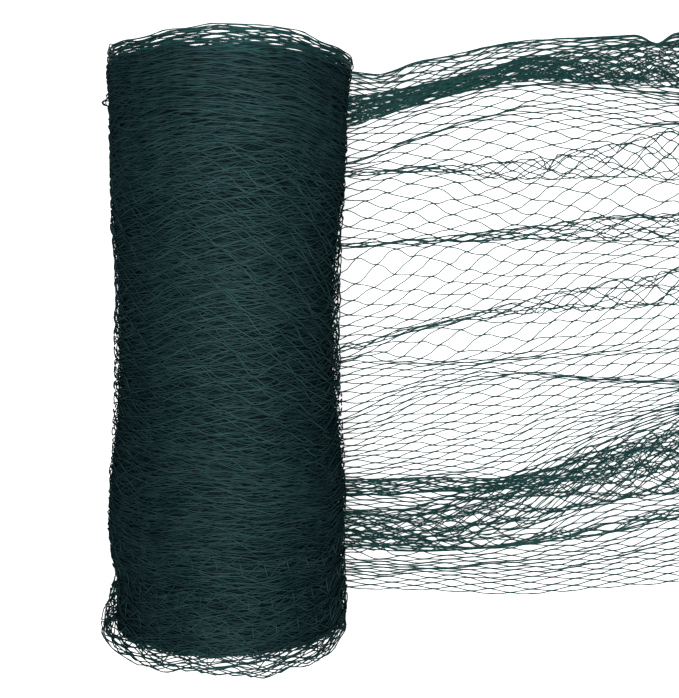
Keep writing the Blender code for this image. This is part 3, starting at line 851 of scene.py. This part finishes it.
def twine_group():
    """Shared look of plastic twine: a colour between dark and light by its tone and a fine unevenness, darker
    at the knots, with its roughness and a small height for bump."""
    name = "Plastic Twine"
    if name in bpy.data.node_groups:
        return bpy.data.node_groups[name]
    group = bpy.data.node_groups.new(name, "ShaderNodeTree")
    for socket, kind, value in (("Dark", "Color", (0.01, 0.04, 0.04, 1.0)),
                                ("Light", "Color", (0.03, 0.10, 0.09, 1.0)),
                                ("Knot Darkness", "Float", 0.35)):
        made = group.interface.new_socket(name=socket, in_out="INPUT", socket_type="NodeSocket" + kind)
        made.default_value = value
    for socket, kind in (("Color", "Color"), ("Roughness", "Float"), ("Height", "Float")):
        group.interface.new_socket(name=socket, in_out="OUTPUT", socket_type="NodeSocket" + kind)
    given = group.nodes.new("NodeGroupInput").outputs
    place = add_node(group, "TexCoord").outputs["Object"]
    # The tone holds random unevenness and, on the wound net and the gathers near the roll, painted highlight
    # and painted shade
    tone = add_node(group, "Attribute", attribute_name="tone").outputs["Fac"]
    knot = add_node(group, "Attribute", attribute_name="knot").outputs["Fac"]
    blotch = add_node(group, "TexNoise", {"Scale": 95.0, "Detail": 3.0}, {"Vector": place})
    grain = add_node(group, "TexNoise", {"Scale": 1400.0, "Detail": 2.0}, {"Vector": place}).outputs["Fac"]
    spread = add_node(group, "MapRange", {"From Min": 0.3, "From Max": 0.7, "To Max": 0.20},
                      {"Value": blotch.outputs["Fac"]})
    share = add_node(group, "Math", {1: 0.80}, {0: tone, 2: spread.outputs["Result"]},
                     operation="MULTIPLY_ADD")
    colour = add_node(group, "Mix", (), {"Factor": share.outputs[0], "A": given["Dark"], "B": given["Light"]},
                      data_type="RGBA")
    shade = add_node(group, "Math", (), {0: knot, 1: given["Knot Darkness"]}, operation="MULTIPLY")
    darker = add_node(group, "Mix", (), {"Factor": shade.outputs[0], "A": colour.outputs["Result"],
                                         "B": given["Dark"]}, data_type="RGBA")
    rough = add_node(group, "MapRange", {"To Min": 0.38, "To Max": 0.62}, {"Value": grain})
    result = group.nodes.new("NodeGroupOutput")
    group.links.new(darker.outputs["Result"], result.inputs["Color"])
    group.links.new(rough.outputs["Result"], result.inputs["Roughness"])
    group.links.new(grain, result.inputs["Height"])
    return group


def twine_material(name, dark, light, gloss):
    """A material that takes its colour, roughness and bump from the shared twine group."""
    if name in bpy.data.materials:
        return bpy.data.materials[name]
    material, tree, shader = new_shader(name)
    twine = add_node(tree, "Group", node_tree=twine_group())
    twine.inputs["Dark"].default_value = (*dark, 1.0)
    twine.inputs["Light"].default_value = (*light, 1.0)
    tree.links.new(twine.outputs["Color"], shader.inputs["Base Color"])
    tree.links.new(twine.outputs["Roughness"], shader.inputs["Roughness"])
    add_bump(tree, shader, twine.outputs["Height"], 0.4, 0.00004)
    shader.inputs["Specular IOR Level"].default_value = gloss
    return material


def body_material(name, dark, light):
    """The dense inside of the roll: fine strands round it, drawn as colour and bump by noise that is long
    round the roll and close along Y. Its colours are the twine's, darkened as painted shade."""
    material, tree, shader = new_shader(name)
    place = add_node(tree, "TexCoord")
    stretch = add_node(tree, "Mapping", {"Scale": (22.0, 420.0, 22.0)}, {"Vector": place.outputs["Object"]})
    noise = add_node(tree, "TexNoise", {"Scale": 1.0, "Detail": 4.0, "Distortion": 0.8},
                     {"Vector": stretch.outputs["Vector"]})
    strands = noise.outputs["Fac"]
    share = add_node(tree, "MapRange", {"From Min": 0.40, "From Max": 0.68}, {"Value": strands})
    # The twine's colours, darkened as painted shade of the roll's inside
    painted_shade_colours = [(*[part * less for part in colour], 1.0) for colour, less in zip((dark, light), CORE_PAINTED_SHADE)]
    colour = add_node(tree, "Mix", {"A": painted_shade_colours[0], "B": painted_shade_colours[1]}, {"Factor": share.outputs["Result"]},
                      data_type="RGBA")
    tree.links.new(colour.outputs["Result"], shader.inputs["Base Color"])
    add_bump(tree, shader, strands, 0.8, 0.0006)
    rough = add_node(tree, "MapRange", {"To Min": 0.75, "To Max": 0.50}, {"Value": strands})
    tree.links.new(rough.outputs["Result"], shader.inputs["Roughness"])
    shader.inputs["Specular IOR Level"].default_value = 0.03
    return material


def wound_material(settings):
    """The wound net's twine, without gloss."""
    return twine_material("wound_net_twine", settings.wound_dark, settings.wound_light, 0.0)


def drawn_material(name, settings):
    """The twine of the drawn net and the rims."""
    return twine_material(name, settings.drawn_dark, settings.drawn_light, settings.gloss)


# Operators


class NettingOperator:
    """What the operators of the net share: each builds its pieces from the settings"""

    def execute(self, context):
        self.build(context.scene.netting)
        return {"FINISHED"}


class NETTING_OT_roll_body(NettingOperator, bpy.types.Operator):
    """Add the dark inner body of the roll"""

    bl_idname = "netting.roll_body"
    bl_label = "Roll Body"

    def build(self, settings):
        core_piece(body_material("wound_net_inside", settings.wound_dark, settings.wound_light))


class NETTING_OT_roll_layers(NettingOperator, bpy.types.Operator):
    """Add the tightly wound layers"""

    bl_idname = "netting.roll_layers"
    bl_label = "Tight Layers"

    def build(self, settings):
        material = wound_material(settings)
        half = len(TIGHT_LAYERS) // 2
        radius = settings.twine_radius
        parts = [wound_layer(layer, TIGHT_POINTS, "core", radius) for layer in TIGHT_LAYERS]
        joined_turns("wound_net_outer", parts[:half], material)
        joined_turns("wound_net_inner", parts[half:], material)


class NETTING_OT_roll_slack(NettingOperator, bpy.types.Operator):
    """Add the slack open layers that form the roll's outline and its ruffled rims"""

    bl_idname = "netting.roll_slack"
    bl_label = "Slack Layers"

    def build(self, settings):
        radius = settings.twine_radius
        parts = [wound_layer(layer, SLACK_POINTS, "rim", radius) for layer in SLACK_LAYERS]
        joined_turns("wound_net_slack", parts, wound_material(settings))


class NETTING_OT_roll_rims(NettingOperator, bpy.types.Operator):
    """Add the ruffled rims of net edges at both ends"""

    bl_idname = "netting.roll_rims"
    bl_label = "Ruffled Rims"

    def build(self, settings):
        parts = [rim_layer(layer, settings.twine_radius) for layer in RIM_LAYERS]
        joined_turns("wound_net_rims", parts, drawn_material("wound_net_rim", settings))


class NETTING_OT_roll_ends(NettingOperator, bpy.types.Operator):
    """Add the edges of the wound layers in both ends"""

    bl_idname = "netting.roll_ends"
    bl_label = "Roll Ends"

    def build(self, settings):
        end_spirals(settings, wound_material(settings))


class NETTING_OT_loose_end(NettingOperator, bpy.types.Operator):
    """Add the drawn-out loose end of the net"""

    bl_idname = "netting.loose_end"
    bl_label = "Loose End"

    def build(self, settings):
        piece = drawn_net(settings, drawn_material("drawn_net_twine", settings))


class NETTING_OT_stage(bpy.types.Operator):
    """Add the surface, the light and the camera"""

    bl_idname = "netting.stage"
    bl_label = "Stage"

    def execute(self, context):
        scene = context.scene
        settings = scene.netting_stage
        add_floor()
        add_light(settings)
        add_world(scene, settings)
        add_camera(scene, settings)
        scene.view_settings.view_transform = "Standard"
        return {"FINISHED"}


def add_floor():
    """A plain pale surface, a hair under the net."""
    half = FLOOR_SIZE / 2
    mesh = bpy.data.meshes.new("floor")
    corners = [(x, y, -FLOOR_DROP) for x, y in ((-half, -half), (half, -half), (half, half), (-half, half))]
    mesh.from_pydata(corners, [], [(0, 1, 2, 3)])
    mesh.update()
    floor = new_object("floor", mesh)
    material, _, shader = new_shader("pale_surface")
    for name, value in (("Base Color", (0.95, 0.95, 0.95, 1.0)), ("Roughness", 0.9),
                        ("Specular IOR Level", 0.1), ("Emission Color", (1.0, 1.0, 1.0, 1.0)),
                        ("Emission Strength", 0.25)):
        shader.inputs[name].default_value = value
    mesh.materials.append(material)


def add_light(settings):
    """A wide soft light straight overhead."""
    lamp = bpy.data.lights.new("overhead_light", "AREA")
    lamp.shape = "DISK"
    lamp.size = LAMP_SIZE
    lamp.energy = settings.key_power
    light = new_object("overhead_light", lamp)
    light.location = LAMP_PLACE


def add_world(scene, settings):
    """Even pale light from all round."""
    world = bpy.data.worlds.new("room")
    world.use_nodes = True
    background = world.node_tree.nodes["Background"]
    background.inputs["Color"].default_value = (1.0, 1.0, 1.0, 1.0)
    background.inputs["Strength"].default_value = settings.room_light
    scene.world = world


def add_camera(scene, settings):
    """A camera straight above, with the drawn net's X to the right of the picture."""
    lens = bpy.data.cameras.new("camera")
    lens.sensor_fit = "VERTICAL"
    lens.sensor_height = 24.0
    lens.lens = lens.sensor_height * settings.camera_height / settings.view_size
    lens.clip_start = 0.01
    camera = new_object("camera", lens)
    camera.location = (settings.camera_x, 0.0, settings.camera_height)
    scene.camera = camera


class NETTING_PT_panel(bpy.types.Panel):
    """Lists the pieces of the netting roll"""

    bl_idname = "NETTING_PT_panel"
    bl_label = "Bird Netting Roll"
    bl_space_type = "VIEW_3D"
    bl_region_type = "UI"
    bl_category = "Netting"

    def draw(self, context):
        column = self.layout.column(align=True)
        for operator in PIECES:
            column.operator(operator.bl_idname)
        settings = context.scene.netting
        stage = context.scene.netting_stage
        self.layout.prop(settings, "twine_radius")
        self.layout.prop(settings, "corners")
        self.layout.prop(stage, "key_power")
        self.layout.prop(stage, "room_light")


PIECES = (NETTING_OT_roll_body, NETTING_OT_roll_layers, NETTING_OT_roll_slack, NETTING_OT_roll_rims,
          NETTING_OT_roll_ends, NETTING_OT_loose_end, NETTING_OT_stage)
CLASSES = (NettingSettings, StageSettings, *PIECES, NETTING_PT_panel)


def register():
    for entry in CLASSES:
        bpy.utils.register_class(entry)
    bpy.types.Scene.netting = bpy.props.PointerProperty(type=NettingSettings)
    bpy.types.Scene.netting_stage = bpy.props.PointerProperty(type=StageSettings)


def unregister():
    del bpy.types.Scene.netting_stage
    del bpy.types.Scene.netting
    for entry in reversed(CLASSES):
        bpy.utils.unregister_class(entry)


def main():
    """Build every piece."""
    register()
    bpy.ops.netting.roll_body()
    bpy.ops.netting.roll_layers()
    bpy.ops.netting.roll_slack()
    bpy.ops.netting.roll_rims()
    bpy.ops.netting.roll_ends()
    bpy.ops.netting.loose_end()
    bpy.ops.netting.stage()


if __name__ == "__main__":
    main()
